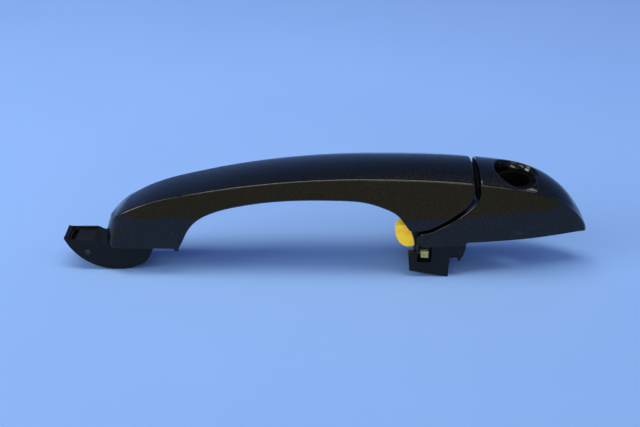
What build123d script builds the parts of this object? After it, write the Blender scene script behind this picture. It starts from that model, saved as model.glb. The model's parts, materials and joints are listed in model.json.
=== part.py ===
from build123d import *
import os
import math

# Exterior strap door handle: a swinging grip with a half-moon pivot arm at its front end, and a
# fixed end cap with a key recess and a guide block that the grip's rear leg slides in.
# +X runs from the pivot arm to the end cap, +Z points away from the door, +Y is the far side.
# The drawing datum is the column X = 0 below; parts are exported with X measured from the middle
# of the overall length, so the origin is the middle of the footprint at the lowest point.

# ---------------------------------------------------------------- driving dimensions (mm)
X0 = 2.7                  # drawing datum to the middle of the overall length
WALL = 2.4                # painted shells, wall
GRIP_SEAT_Z = 14.5        # underside of the front foot
CAP_SEAT_Z = 18.4         # underside of the end cap (door skin side)
TONGUE_Z = 16.4           # underside of the cap's tongue
ARM_R = 25.1              # half-moon radius, also the swing radius
ARM_CX, ARM_CZ = -96.6, 25.1
ARM_W = 13.6              # arm thickness along Y
ARM_TOP_Z = 16.2
PIN_D = 2.8               # small pin through the arm
PIN_X, PIN_Z = -109.7, 9.5
KEY_X, KEY_Y = 89.1, -2.6  # key recess axis
KEY_R = 9.3               # recess radius in the painted cap
KEY_FLOOR_Z = 46.6        # ring floor of the recess
LOCK_R = 7.0              # bore of the lock tube
LOCK_FLOOR_Z = 34.5       # step at the lower end of that bore
LOCK_TAIL_R = 3.6         # bore for the lock's tail
BLOCK_W = 26.0            # guide block, overall width
CHEEK = 2.6               # guide block, cheek thickness
LEG_TOP_W = 20.0          # rear leg, width of its upper part
LEG_SCREW_X = 48.3        # long screw from the leg into the core
LEG_W = 14.0              # rear leg, width inside the block
INSERT_Z = 12.3           # axis height of the retaining screw
THREAD_R = 2.1            # tapping radius of the M5 retaining thread
CLEAR_R = 2.8             # clearance bore for the retaining screw
LIP_OUT = 1.3             # lip that darkens the gap, height above the cap's front wall

# Outer skin stations: x, half width at the crease, crease height, crown above the crease,
# half width of the flanks low down, height where that low width is reached
SKIN = [
    (-101.6, 5.2, 26.0, 0.5, 8.6, 14.5),
    (-98.0, 6.9, 27.0, 0.6, 10.8, 14.5),
    (-95.5, 7.6, 28.4, 0.6, 11.2, 14.5),
    (-93.0, 8.1, 30.5, 0.6, 11.4, 14.5),
    (-90.0, 8.8, 32.8, 0.7, 11.5, 14.5),
    (-87.0, 9.3, 34.3, 0.8, 11.6, 14.5),
    (-80.0, 10.15, 37.6, 0.9, 11.7, 14.5),
    (-70.0, 11.0, 40.8, 1.0, 11.9, 14.6),
    (-58.0, 11.75, 43.4, 1.1, 12.2, 15.5),
    (-40.0, 12.5, 46.95, 1.5, 12.6, 18.0),
    (-20.0, 13.1, 49.75, 1.9, 13.0, 21.0),
    (0.0, 13.6, 51.5, 2.2, 13.3, 23.0),
    (20.0, 14.0, 52.25, 2.7, 13.6, 22.0),
    (40.0, 14.3, 52.05, 3.2, 13.8, 19.0),
    (60.0, 14.6, 51.15, 3.8, 13.6, 18.5),
    (72.0, 14.75, 49.95, 4.1, 12.7, 18.4),
    (80.0, 14.75, 49.1, 4.35, 11.9, 18.4),
    (90.0, 14.5, 47.4, 4.6, 10.5, 18.4),
    (97.0, 13.9, 45.65, 4.7, 9.4, 18.4),
    (103.0, 12.8, 43.4, 4.5, 8.0, 18.4),
    (109.0, 11.0, 40.15, 4.1, 6.4, 18.4),
    (114.0, 9.0, 36.1, 3.5, 5.0, 18.4),
    (118.0, 7.0, 31.9, 2.4, 3.8, 18.4),
    (121.5, 4.9, 27.6, 1.5, 2.5, 18.4),
    (124.3, 2.7, 22.9, 0.8, 1.3, 17.4),
    (125.9, 1.3, 19.6, 0.3, 0.7, 15.4),
]

# Finger side of the grip, front foot to rear foot (x, z)
ARCH = [
    (-65.9, 14.5), (-65.2, 15.8), (-63.1, 20.2), (-60.8, 24.6), (-58.8, 27.3), (-55.0, 30.5),
    (-51.2, 32.6), (-45.6, 34.8), (-38.2, 36.8), (-29.1, 38.6), (-18.1, 40.0), (-5.4, 40.7),
    (9.1, 40.7), (18.1, 40.1), (23.6, 38.9), (29.1, 36.9), (32.8, 35.1), (35.6, 33.0),
    (38.0, 30.0), (40.2, 26.8), (41.2, 25.2),
]
# Front end of the grip (x, z)
NOSE = [(-100.5, 14.5), (-100.9, 17.0), (-99.9, 21.5), (-98.6, 25.4), (-95.5, 29.9),
        (-92.2, 33.2), (-88.5, 36.6), (-84.0, 41.0)]
# Rear edge of the grip, top to bottom (x, z)
GRIP_REAR = [(69.2, 58.0), (69.3, 51.0), (69.9, 47.0), (69.0, 42.3), (66.7, 38.2),
             (63.3, 34.9), (59.0, 31.3), (54.8, 28.4), (50.3, 26.1), (46.4, 25.2)]
# Front edge of the cap and its tongue, top to bottom (x, z)
CAP_FRONT = [(71.5, 58.0), (71.6, 50.0), (72.1, 46.6), (71.2, 42.6), (69.2, 39.4),
             (66.7, 36.4), (63.4, 33.1), (59.1, 29.6), (54.7, 26.7), (50.4, 24.5), (47.6, 23.9),
             (46.0, 23.9)]


def lerp_row(x):
    """Skin station at x, linear between the table's rows."""
    for a, b in zip(SKIN, SKIN[1:]):
        if a[0] <= x <= b[0]:
            t = (x - a[0]) / (b[0] - a[0])
            return tuple(p + (q - p) * t for p, q in zip(a, b))
    return SKIN[-1]


def section(row, inset=0.0):
    """Closed section of the skin in a plane of constant x."""
    x, w, zc, h, wb, zl = row
    w, wb, zc = w - inset, wb - inset, zc - inset
    z_low = 11.0
    zm = zc - (zc - zl) * 0.38
    wm = w + (wb - w) * 0.28 + 0.45
    c = min(0.55, 0.2 * w)
    wz = 0.97 * wb
    right = Spline((x, wz, z_low), (x, wb, zl), (x, wm, zm), (x, w, zc - c))
    bevel = Line((x, w, zc - c), (x, w - c, zc + 0.12 * c))
    top = ThreePointArc((x, w - c, zc + 0.12 * c), (x, 0, zc + h), (x, -w + c, zc + 0.12 * c))
    bevel2 = Line((x, -w + c, zc + 0.12 * c), (x, -w, zc - c))
    left = Spline((x, -w, zc - c), (x, -wm, zm), (x, -wb, zl), (x, -wz, z_low))
    base = Line((x, -wz, z_low), (x, wz, z_low))
    return Wire([right, bevel, top, bevel2, left, base])


def smooth_row(x):
    """Skin station at x, on a smooth monotone curve through the table's rows."""
    i = max(k for k in range(len(SKIN) - 1) if SKIN[k][0] <= x + 1e-9)
    x0, x1 = SKIN[i][0], SKIN[i + 1][0]
    t = (x - x0) / (x1 - x0)
    out = [x]
    for c in range(1, 6):
        d = [(SKIN[k + 1][c] - SKIN[k][c]) / (SKIN[k + 1][0] - SKIN[k][0])
             for k in range(len(SKIN) - 1)]

        def slope(k):
            if k == 0:
                return d[0]
            if k == len(SKIN) - 1:
                return d[-1]
            if d[k - 1] * d[k] <= 0:
                return 0.0
            return 2 * d[k - 1] * d[k] / (d[k - 1] + d[k])
        h = x1 - x0
        m0, m1 = slope(i) * h, slope(i + 1) * h
        a, b = SKIN[i][c], SKIN[i + 1][c]
        out.append((2 * t**3 - 3 * t**2 + 1) * a + (t**3 - 2 * t**2 + t) * m0
                   + (3 * t**2 - 2 * t**3) * b + (t**3 - t**2) * m1)
    return tuple(out)


def skin(x_lo, x_hi, inset=0.0, step=6.5, ruled=False):
    n = max(2, round((x_hi - x_lo) / step))
    rows = [smooth_row(x_lo + (x_hi - x_lo) * k / n) for k in range(n + 1)]
    return Solid.make_loft([section(r, inset) for r in rows], ruled)


def prism(pts, half, y_mid=0.0):
    """Closed (x, z) outline, straight runs, thickened to y_mid +- half."""
    w = Polyline(*[(p[0], y_mid - half, p[1]) for p in pts], close=True)
    return Solid.extrude(Face(Wire(w.edges())), Vector(0, 2 * half, 0))


def prism_mixed(segments, half):
    """Closed (x, z) outline of ("s", points) splines and ("l", points) straight runs."""
    edges = []
    for kind, pts in segments:
        p = [(a, -half, b) for a, b in pts]
        if kind == "s":
            edges += Spline(*p).edges()
        else:
            edges += Polyline(*p).edges() if len(p) > 2 else Line(*p).edges()
    return Solid.extrude(Face(Wire(edges)), Vector(0, 2 * half, 0))


def plan(pts, z0, z1):
    """Closed (x, y) outline between two heights."""
    w = Polyline(*[(a, b, z0) for a, b in pts], close=True)
    return Solid.extrude(Face(Wire(w.edges())), Vector(0, 0, z1 - z0))


def box(x0, x1, y0, y1, z0, z1):
    return Solid.make_box(x1 - x0, y1 - y0, z1 - z0, Plane((x0, y0, z0)))


def rod_z(x, y, z0, z1, r):
    return Solid.make_cylinder(r, z1 - z0, Plane((x, y, z0)))


def rod_x(x0, x1, y, z, r):
    return Solid.make_cylinder(r, x1 - x0, Plane((x0, y, z), x_dir=(0, 1, 0), z_dir=(1, 0, 0)))


def rod_y(x, y0, y1, z, r):
    return Solid.make_cylinder(r, y1 - y0, Plane((x, y0, z), x_dir=(1, 0, 0), z_dir=(0, 1, 0)))


def solids(shape):
    s = list(shape.solids())
    return sorted(s, key=lambda q: -q.volume)


def big(shape):
    return solids(shape)[0]


def offset_curve(pts, d):
    """The curve moved by d to its left side (its normal), point by point."""
    out = []
    for i, p in enumerate(pts):
        a = pts[max(i - 1, 0)]
        b = pts[min(i + 1, len(pts) - 1)]
        tx, tz = b[0] - a[0], b[1] - a[1]
        n = math.hypot(tx, tz)
        out.append((p[0] - tz / n * d, p[1] + tx / n * d))
    return out


def try_fillet(shape, edges, radii):
    for r in radii:
        try:
            s = shape.fillet(r, edges)
            if s.is_valid and s.volume > 0.5 * shape.volume:
                return s
        except Exception:
            pass
    return shape


OUT = {}

# ================================================================= grip, outer form
master = skin(-101.6, 125.9, step=5.5)
grip_outline = prism_mixed([
    ("s", NOSE),
    ("l", [NOSE[-1], (-84.0, 60.0), (69.2, 60.0), GRIP_REAR[0]]),
    ("s", GRIP_REAR),
    ("l", [GRIP_REAR[-1], ARCH[-1]]),
    ("s", ARCH[::-1]),
    ("l", [ARCH[0], NOSE[0]]),
], 25)
grip_form = big(master.intersect(grip_outline))

# inside of the grip
ARCH_IN = offset_curve(ARCH, WALL)
ARCH_IN[0] = (-68.5, GRIP_SEAT_Z + WALL)
ARCH_IN[1] = (-67.0, 18.6)
ARCH_IN[-1] = (42.9, 27.6)
REAR_IN = [(66.6, 47.0), (66.0, 43.0), (64.0, 39.6), (60.9, 36.4), (56.8, 33.2), (52.8, 30.4),
           (48.6, 28.4), (45.6, 27.6)]
inner_outline = prism(
    [(-96.6, GRIP_SEAT_Z + WALL), (-96.8, 20.0), (-95.4, 24.6), (-91.8, 28.6), (-88.0, 31.4),
     (-84.0, 34.6), (-78.0, 60.0), (66.4, 60.0)] + REAR_IN + ARCH_IN[::-1], 25)
cavity_skin = skin(-97.6, 68.5, WALL, 8.0, True)
grip_cavity = big(cavity_skin.intersect(inner_outline))

# ---- finger-side liner: closes the underside between the cover's flanks
band_low = offset_curve(ARCH, -0.4)
band_top = offset_curve(ARCH, WALL + 0.05)
band_top[0] = (-68.3, GRIP_SEAT_Z + WALL + 0.05)
band_top[1] = (-66.9, 18.8)
liner_band = ([(-98.2, GRIP_SEAT_Z), (-66.0, GRIP_SEAT_Z)] + ARCH[1:-2]
              + band_top[:-2][::-1] + [(-98.2, GRIP_SEAT_Z + WALL + 0.05)])
cut_band = ([(-98.2, GRIP_SEAT_Z - 0.4), (-65.2, GRIP_SEAT_Z - 0.4)] + band_low[1:-2]
            + band_top[:-2][::-1] + [(-98.2, GRIP_SEAT_Z + WALL + 0.05)])
LINER_PLAN = [(-98.0, 5.6), (-95.5, 7.6), (-92.0, 8.5), (-80.0, 8.9), (-66.0, 9.1), (-50.0, 9.5),
              (-20.0, 10.2), (0.0, 10.5), (20.0, 10.8), (39.0, 11.0)]
liner_plan = plan(LINER_PLAN + [(x, -y) for x, y in LINER_PLAN[::-1]], 10, 50)
CUT_PLAN = [(x + (0.0 if x < 30 else 0.1), y + 0.12) for x, y in LINER_PLAN]
CUT_PLAN[0] = (-98.1, 5.7)
cut_plan = plan(CUT_PLAN + [(x, -y) for x, y in CUT_PLAN[::-1]], 10, 50)

grip_cover = grip_form.cut(grip_cavity)
grip_cover = big(grip_cover.cut(big(prism(cut_band, 20).intersect(cut_plan))))
# way through the rear underside for the leg's neck
grip_cover = big(grip_cover.cut(box(44.3, 50.8, -5.2, 5.2, 24.0, 30.5)))

grip_liner = big(prism(liner_band, 20).intersect(liner_plan))
# recess for the seal and way through for the arm's tenon
grip_liner = big(grip_liner.cut(box(-96.0, -69.0, -7.6, 7.6, 14.0, GRIP_SEAT_Z + 0.9)))
grip_liner = big(grip_liner.cut(box(-91.2, -75.8, -4.7, 4.7, 14.0, 18.0)))
# locating tooth at the heel of the front foot
tooth = prism([(-68.6, 14.5), (-68.3, 12.8), (-66.7, 12.4), (-66.1, 13.0), (-66.0, 14.5)], 10.7)
grip_liner = big(grip_liner.fuse(tooth))
# counterbored holes for its two screws
LINER_SCREW_X = (-16.0, 16.0)
for sx in LINER_SCREW_X:
    zb = 40.15 if sx < 0 else 40.3
    grip_liner = big(grip_liner.cut(rod_z(sx, 0, 38.0, zb + 1.0, 2.9)))
    grip_liner = big(grip_liner.cut(rod_z(sx, 0, 39.0, 46.0, 1.6)))

# ---- reinforcement inside the grip
core_low = [(-91.5, 17.1), (-69.0, 17.1), (-66.2, 21.5), (-63.4, 28.0), (-58.6, 32.6),
            (-53.2, 35.2), (-46.5, 37.6), (-38.5, 39.7), (-29.0, 41.4), (-18.0, 42.8),
            (-5.4, 43.4), (9.1, 43.4), (18.4, 42.8), (24.4, 41.7), (30.2, 39.6), (34.6, 37.4),
            (38.0, 35.0), (40.6, 31.6), (43.4, 29.1), (49.2, 29.1), (53.6, 32.0), (56.4, 34.0)]
core_top = [(56.4, 41.0), (50.0, 44.0), (38.0, 46.6), (20.0, 48.4), (0.0, 48.4), (-20.0, 47.0),
            (-40.0, 43.6), (-56.0, 38.8), (-68.0, 34.4), (-80.0, 31.0), (-88.0, 26.4),
            (-91.5, 22.6)]
grip_core = prism(core_low + core_top, 6.2)
# lightening pockets from above, leaving a spine and end blocks
for a, b, zf in ((-52.0, -32.0, 40.2), (-29.0, -19.5, 44.0), (-12.0, 12.0, 45.0),
                 (20.0, 36.0, 42.4)):
    grip_core = big(grip_core.cut(box(a, b, -4.6, -0.8, zf, 60.0)))
    grip_core = big(grip_core.cut(box(a, b, 0.8, 4.6, zf, 60.0)))
# socket of the arm's tenon, socket of the leg's neck
grip_core = big(grip_core.cut(box(-91.2, -75.9, -4.6, 4.6, 10.0, 24.1)))
grip_core = big(grip_core.cut(box(44.4, 50.7, -5.1, 5.1, 20.0, 36.1)))
ARM_SCREW_X = (-84.6,)
for sx in ARM_SCREW_X:
    grip_core = big(grip_core.cut(rod_z(sx, 0, 23.0, 28.6, 1.52)))
for sx in LINER_SCREW_X:
    grip_core = big(grip_core.cut(rod_z(sx, 0, 40.0, 47.0, 1.27)))
grip_core = big(grip_core.cut(rod_z(LEG_SCREW_X, 0, 34.0, 42.0, 1.52)))

# ---- half-moon pivot arm
a0 = math.radians(198.8)
a1 = math.radians(301.8)
arc_pt = lambda a: (ARM_CX + ARM_R * math.cos(a), ARM_CZ + ARM_R * math.sin(a))
N_ARC = arc_pt((a0 + a1) / 2)
h_arm = ARM_W / 2
pA, pB = arc_pt(a0), arc_pt(a1)
arm_edges = []
arm_edges += ThreePointArc((pA[0], -h_arm, pA[1]), (N_ARC[0], -h_arm, N_ARC[1]),
                           (pB[0], -h_arm, pB[1])).edges()
arm_edges += Spline((pB[0], -h_arm, pB[1]), (-80.8, -h_arm, 7.2), (-79.0, -h_arm, 11.0),
                    (-78.4, -h_arm, 14.2)).edges()
arm_edges += Polyline((-78.4, -h_arm, 14.2), (-102.4, -h_arm, 14.2), (-104.2, -h_arm, 14.9),
                      (-105.6, -h_arm, 15.8), (-106.8, -h_arm, ARM_TOP_Z),
                      (-119.6, -h_arm, ARM_TOP_Z), (pA[0], -h_arm, pA[1])).edges()
pivot_arm = Solid.extrude(Face(Wire(arm_edges)), Vector(0, ARM_W, 0))
rim_edges = [e for e in pivot_arm.edges()
             if abs(abs(e.center().Y) - h_arm) < 0.01 and e.length > 20 and e.center().Z < 12]
pivot_arm = try_fillet(pivot_arm, rim_edges, (0.8, 0.5))
pivot_arm = big(pivot_arm.cut(box(-118.6, -106.4, -h_arm + 0.9, h_arm - 0.9, ARM_TOP_Z - 0.9,
                                  20.0)))
pivot_arm = big(pivot_arm.cut(box(-117.7, -115.2, -4.8, 4.8, 12.8, 20.0)))
pivot_arm = big(pivot_arm.fuse(box(-91.0, -76.1, -4.5, 4.5, 14.0, 24.0)))
pivot_arm = big(pivot_arm.cut(rod_y(PIN_X, -10, 10, PIN_Z, PIN_D / 2 + 0.01)))
for sx in ARM_SCREW_X:
    pivot_arm = big(pivot_arm.cut(rod_z(sx, 0, -2.0, 9.0, 3.4)))
    pivot_arm = big(pivot_arm.cut(rod_z(sx, 0, 8.0, 26.0, 2.1)))

link_pin = rod_y(PIN_X, -h_arm - 0.25, h_arm + 0.25, PIN_Z, PIN_D / 2)
link_pin = try_fillet(link_pin, link_pin.edges().filter_by(GeomType.CIRCLE), (0.3, 0.2))


def pan_screw(x, y, z_seat, z_tip, r_head, h_head, r_shank, up=1):
    """Screw with its seat at z_seat; its tip at z_tip; cross slot in the head."""
    lo, hi = min(z_seat, z_tip), max(z_seat, z_tip)
    s = rod_z(x, y, lo, hi, r_shank)
    if up > 0:
        head = rod_z(x, y, z_seat - h_head, z_seat, r_head)
        c0, c1 = z_seat - h_head - 0.1, z_seat - h_head + 0.9
    else:
        head = rod_z(x, y, z_seat, z_seat + h_head, r_head)
        c0, c1 = z_seat + h_head - 0.9, z_seat + h_head + 0.1
    s = big(s.fuse(head))
    s = big(s.cut(box(x - r_head * 0.62, x + r_head * 0.62, y - 0.35, y + 0.35, c0, c1)))
    s = big(s.cut(box(x - 0.35, x + 0.35, y - r_head * 0.62, y + r_head * 0.62, c0, c1)))
    return s


arm_screws = [pan_screw(sx, 0, 9.0, 28.2, 3.2, 2.4, 1.5) for sx in ARM_SCREW_X]
liner_screws = [pan_screw(sx, 0, (41.15 if sx < 0 else 41.3), 46.6, 2.7, 0.95, 1.25)
                for sx in LINER_SCREW_X]

# ---- seal in the front foot's underside, round the tenon
foot_seal = box(-95.9, -69.1, -7.5, 7.5, GRIP_SEAT_Z + 0.1, GRIP_SEAT_Z + 0.9)
foot_seal = big(foot_seal.cut(box(-91.4, -75.6, -4.9, 4.9, 10.0, 20.0)))

# ---- rear leg
leg_low = prism([(41.5, 25.1), (42.2, 23.6), (43.2, 20.4), (44.1, 17.6), (44.5, 15.6),
                 (52.0, 15.6), (52.0, 24.0), (50.0, 25.1)], LEG_TOP_W / 2)
leg_blade = prism([(45.3, 16.0), (45.3, 6.0), (45.9, 4.9), (50.7, 4.9), (51.3, 6.0),
                   (51.3, 16.0)], LEG_W / 2)
leg_neck = box(44.5, 50.6, -5.0, 5.0, 24.5, 36.0)
rear_leg = big(big(leg_low.fuse(leg_blade)).fuse(leg_neck))
# shell outline clearance where the leg top meets the tongue's opening
rear_leg = big(rear_leg.cut(rod_z(LEG_SCREW_X, 0, 3.0, 9.0, 2.6)))
rear_leg = big(rear_leg.cut(rod_z(LEG_SCREW_X, 0, 8.0, 38.0, 1.9)))
# hook window near its lower end, where the latch's lever takes hold
for sgn in (-1, 1):
    y0, y1 = sorted((sgn * 3.6, sgn * 5.6))
    rear_leg = big(rear_leg.cut(box(40.0, 60.0, y0, y1, 6.5, 12.5)))
leg_screws = [pan_screw(LEG_SCREW_X, 0, 9.0, 41.5, 2.4, 2.2, 1.5)]

# ---- low-friction shoe round the leg's blade
shoe_out = box(44.75, 51.85, -7.7, 7.7, 8.2, 13.6)
leg_shoe = big(shoe_out.cut(box(45.3, 51.3, -7.0, 7.0, 8.0, 14.0)))
for sgn in (-1, 1):
    y0, y1 = sorted((sgn * 3.6, sgn * 5.6))
    leg_shoe = big(leg_shoe.cut(box(40.0, 60.0, y0, y1, 9.2, 12.5)))
leg_shoe_solids = solids(leg_shoe)

# ---- yellow pad on the finger side of the rear foot
pad_pts_r = [(38.6, 25.2), (40.2, 24.9), (41.85, 23.4), (42.75, 20.6), (43.6, 18.1),
             (44.05, 16.2), (44.2, 14.5)]
pad_pts_l = [(42.0, 13.7), (39.6, 14.1), (37.6, 15.6), (36.1, 18.0), (35.3, 21.0), (35.7, 23.6),
             (36.9, 24.9)]
PAD_Y, PAD_H = -5.2, 2.8
foot_pad = big(prism_mixed([("s", pad_pts_r), ("s", [pad_pts_r[-1]] + pad_pts_l
                                                + [pad_pts_r[0]])], PAD_H))
foot_pad = foot_pad.moved(Location((0, PAD_Y, 0)))
pad_edges = [e for e in foot_pad.edges()
             if abs(abs(e.center().Y - PAD_Y) - PAD_H) < 0.01 and e.center().X < 40]
foot_pad = try_fillet(foot_pad, pad_edges, (1.6, 1.0, 0.5))
foot_pad = big(foot_pad.cut(grip_form))
foot_pad = big(foot_pad.cut(rear_leg))

# ================================================================= end cap
cap_outline = prism_mixed([
    ("s", CAP_FRONT),
    ("l", [CAP_FRONT[-1], (46.2, 17.4), (47.2, TONGUE_Z), (67.8, TONGUE_Z), (67.8, CAP_SEAT_Z),
           (130.0, CAP_SEAT_Z), (130.0, 60.0), (71.5, 60.0), CAP_FRONT[0]]),
], 25)
cap_form = big(master.intersect(cap_outline))
cap_in_outline = prism([(74.4, 60.0), (74.4, 41.0), (72.2, 37.6), (69.4, 34.6), (66.0, 31.4),
                        (61.8, 27.9), (57.6, 25.0), (57.6, 10.0), (130.0, 10.0), (130.0, 60.0)],
                       25)
cap_cavity = big(skin(54.0, 116.0, WALL, 7.0, True).intersect(cap_in_outline))
# rim wall of the key recess and screw bosses stay inside the cavity
keep = rod_z(KEY_X, KEY_Y, KEY_FLOOR_Z, 60.0, KEY_R + 1.7)
CAP_SCREWS = [(73.5, 7.1), (73.5, -7.1), (106.5, 0.0)]
for sx, sy in CAP_SCREWS:
    keep = keep.fuse(rod_z(sx, sy, 23.4, 60.0, 2.9))
BLOCK_SCREWS = [(58.6, 8.2), (58.6, -8.2)]
for sx, sy in BLOCK_SCREWS:
    keep = keep.fuse(rod_z(sx, sy, TONGUE_Z, 60.0, 2.9))
cap_cavity_cut = cap_cavity.cut(*solids(keep))
cap_shell = cap_form
for s in solids(cap_cavity_cut):
    if s.volume > 1.0:
        cap_shell = cap_shell.cut(s)
cap_shell = big(cap_shell)
cap_shell = big(cap_shell.cut(rod_z(KEY_X, KEY_Y, 30.0, 70.0, KEY_R)))
for sx, sy in CAP_SCREWS:
    cap_shell = big(cap_shell.cut(rod_z(sx, sy, 22.0, 36.0, 1.27)))
for sx, sy in BLOCK_SCREWS:
    cap_shell = big(cap_shell.cut(rod_z(sx, sy, 10.0, 25.5, 1.27)))
# opening for the leg, which leaves the tongue as two cheeks
cap_shell = big(cap_shell.cut(box(40.0, 53.4, -LEG_TOP_W / 2 - 0.4, LEG_TOP_W / 2 + 0.4,
                                  10.0, 40.0)))

# lip inside the gap, standing out from the cap's front wall under the grip's rear edge
LIP = [(71.5, 58.0), (71.6, 50.0), (72.1, 46.6), (71.2, 42.6), (70.7, 41.8)]
lip_outline = prism(offset_curve(LIP, -LIP_OUT) + offset_curve(LIP, 1.2)[::-1], 25)
cap_lip = big(skin(59.0, 77.0, WALL, 4.5, True).intersect(lip_outline))
cap_shell = big(cap_shell.fuse(cap_lip))

# ---- carrier inside the cap, with the lock tube
def base_plan(x_lo, x_hi, inset, z0, z1):
    """Plate inside the cap's flanks, following their low half width."""
    xs = [x_lo] + [r[0] for r in SKIN if x_lo < r[0] < x_hi] + [x_hi]
    pts = [(x, lerp_row(x)[4] - inset) for x in xs]
    return plan(pts + [(x, -y) for x, y in pts[::-1]], z0, z1)


cap_carrier = base_plan(68.6, 115.6, WALL + 0.2, CAP_SEAT_Z + 0.9, CAP_SEAT_Z + 4.2)
tube = rod_z(KEY_X, KEY_Y, LOCK_FLOOR_Z - 1.8, KEY_FLOOR_Z, LOCK_R + 1.3)
tube = big(tube.fuse(rod_z(KEY_X, KEY_Y, KEY_FLOOR_Z - 1.6, KEY_FLOOR_Z, KEY_R - 0.1)))
tube = big(tube.fuse(rod_z(KEY_X, KEY_Y, CAP_SEAT_Z + 0.9, LOCK_FLOOR_Z, LOCK_TAIL_R + 1.5)))
cap_carrier = big(cap_carrier.fuse(tube))
# ribs from the tube to the plate
rib1 = prism([(71.0, 22.0), (KEY_X - 4.5, 22.0), (KEY_X - 4.5, 33.5), (KEY_X - 7.8, 33.5),
              (KEY_X - 7.8, 42.0), (78.4, 36.0), (76.8, 30.0)], 0.9, KEY_Y)
rib2 = prism([(KEY_X + 4.5, 22.0), (101.0, 22.0), (101.0, 24.5), (KEY_X + 7.8, 36.0),
              (KEY_X + 4.5, 36.0)], 0.9, KEY_Y)
cap_carrier = big(big(cap_carrier.fuse(rib1)).fuse(rib2))
cap_carrier = big(cap_carrier.cut(rod_z(KEY_X, KEY_Y, LOCK_FLOOR_Z, 60.0, LOCK_R)))
cap_carrier = big(cap_carrier.cut(rod_z(KEY_X, KEY_Y, 10.0, 60.0, LOCK_TAIL_R)))
for sx, sy in CAP_SCREWS:
    cap_carrier = big(cap_carrier.cut(rod_z(sx, sy, 10.0, 23.35, 1.7)))
    cap_carrier = big(cap_carrier.cut(rod_z(sx, sy, 10.0, CAP_SEAT_Z + 2.6, 3.1)))
    cap_carrier = big(cap_carrier.cut(rod_z(sx, sy, CAP_SEAT_Z + 4.6, 60.0, 3.05)))
cap_screws = [pan_screw(sx, sy, CAP_SEAT_Z + 2.6, 33.0, 2.8, 1.6, 1.22) for sx, sy in CAP_SCREWS]

# ---- foam seal under the carrier plate
cap_seal = base_plan(69.0, 115.2, WALL + 0.4, CAP_SEAT_Z + 0.1, CAP_SEAT_Z + 0.9)
cap_seal = big(cap_seal.cut(rod_z(KEY_X, KEY_Y, 10, 30, LOCK_TAIL_R + 0.4)))
for sx, sy in CAP_SCREWS:
    cap_seal = big(cap_seal.cut(rod_z(sx, sy, 10, 30, 3.3)))

# ================================================================= guide block
hb = BLOCK_W / 2
guide_block = prism([(42.0, 3.4), (60.2, 0.0), (60.4, 8.2), (65.0, 8.6), (66.7, 11.5),
                     (67.4, 14.3), (67.7, TONGUE_Z), (52.0, TONGUE_Z), (52.0, 13.3),
                     (41.1, 13.3)], hb)
leg_gap = box(30.0, 53.2, -hb + CHEEK, hb - CHEEK, -5.0, 30.0)
guide_block = big(guide_block.cut(leg_gap))
# cross tie low down between the cheeks, behind the leg's path
tie = prism([(52.0, 1.6), (55.0, 1.2), (55.0, 6.0), (52.0, 6.0)], hb - 1.0)
guide_block = big(guide_block.fuse(tie))
# windows in both cheeks, open upwards
guide_block = big(guide_block.cut(box(45.3, 52.0, -20, 20, 8.0, 20.0)))
# side notches at the lower right of both flanks
for sgn in (-1, 1):
    y0, y1 = sorted((sgn * 9.6, sgn * 14.0))
    guide_block = big(guide_block.cut(box(60.4, 64.6, y0, y1, 8.0, 11.6)))
# retaining screw's bore and the pocket of its threaded insert
guide_block = big(guide_block.cut(rod_x(60.6, 70.0, 0, INSERT_Z, CLEAR_R)))
guide_block = big(guide_block.cut(rod_x(54.0, 60.7, 0, INSERT_Z, 3.52)))
for sx, sy in BLOCK_SCREWS:
    guide_block = big(guide_block.cut(rod_z(sx, sy, -3.0, 5.2, 3.1)))
    guide_block = big(guide_block.cut(rod_z(sx, sy, 4.0, 18.0, 1.7)))
block_screws = [pan_screw(sx, sy, 5.2, 24.5, 2.8, 2.0, 1.25) for sx, sy in BLOCK_SCREWS]
retaining_insert = rod_x(54.2, 60.6, 0, INSERT_Z, 3.5)
retaining_insert = big(retaining_insert.cut(rod_x(50.0, 65.0, 0, INSERT_Z, THREAD_R)))
groove = rod_x(57.0, 58.0, 0, INSERT_Z, 3.6).cut(rod_x(56.0, 59.0, 0, INSERT_Z, 3.05))
retaining_insert = big(retaining_insert.cut(*solids(groove)))

# ---- square-lug clips in the windows
block_clips = []
for sgn in (-1, 1):
    y0, y1 = sorted((sgn * (hb - CHEEK + 0.15), sgn * (hb + 0.2)))
    lug = box(47.0, 50.5, y0, y1, 10.6, 13.9)
    lug = try_fillet(lug, lug.edges(), (0.25,))
    ys0, ys1 = sorted((sgn * 11.3, sgn * 12.2))
    stem = box(44.95, 45.7, ys0, ys1, 13.2, 21.4)
    foot = box(44.9, 47.4, ys0, ys1, 12.4, 13.3)
    block_clips.append(big(big(lug.fuse(foot)).fuse(stem)))
# the stems pass through the cheeks' top edge in their own slots
for sgn in (-1, 1):
    y0, y1 = sorted((sgn * 11.15, sgn * 12.35))
    guide_block = big(guide_block.cut(box(44.7, 47.5, y0, y1, 12.0, 15.5)))

# ---- rubber stop between tongue and grip
stop_curve = [(55.6, 27.35), (57.4, 28.5), (59.1, 29.65), (61.0, 31.1)]
stop_pad = prism(stop_curve + [(p[0] - 0.42, p[1] + 0.62) for p in stop_curve[::-1]], 5.0)
stop_pad = big(stop_pad.cut(cap_form))

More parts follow.
